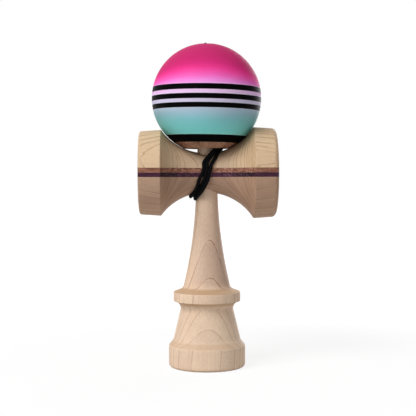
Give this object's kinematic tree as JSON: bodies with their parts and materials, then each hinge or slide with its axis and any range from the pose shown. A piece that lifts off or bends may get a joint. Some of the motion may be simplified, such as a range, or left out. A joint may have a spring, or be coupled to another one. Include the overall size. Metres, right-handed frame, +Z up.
{
  "type": "kendama",
  "caption": "Wooden kendama toy: turned handle with a spike and a base cup, laminated crosspiece with a cup at each end, and a bored, painted ball held on by a wound string.",
  "frame": {"origin": "middle of the base rim's plane, on the handle's axis", "axes": "+Z up along the handle to the spike, +X towards the big cup, -Y to the front that the picture shows"},
  "size_m": [0.0776, 0.0637, 0.1845],
  "materials": {
    "maple": "bare, sanded smooth",
    "brown_wood": "bare, sanded smooth",
    "purple_wood": "bare, sanded smooth",
    "painted_wood": "satin paint over turned wood",
    "bead_wood": "bare",
    "black_string": "braided"
  },
  "bodies": {
    "root": {"ken": "maple", "sarado_upper_block": "maple", "sarado_brown_strip": "brown_wood", "sarado_purple_strip": "purple_wood", "sarado_lower_block": "maple", "string_wrap": "black_string", "string_tail": "black_string", "ken_knot": "black_string"},
    "bead": {"bead": "bead_wood", "bead_knot": "black_string", "string_run": "black_string"},
    "tama": {"tama": "painted_wood"}
  },
  "joints": [
    {"name": "tama_lift", "type": "slide", "parent": "root", "child": "bead", "axis": [0, 0, 1], "range_m": [0, 0.05], "deforming": ["string_run"]},
    {"name": "tama_spin", "type": "hinge", "parent": "bead", "child": "tama", "pos_m": [0, 0, 0.15195], "axis": [0, 0, 1], "continuous": true}
  ]
}
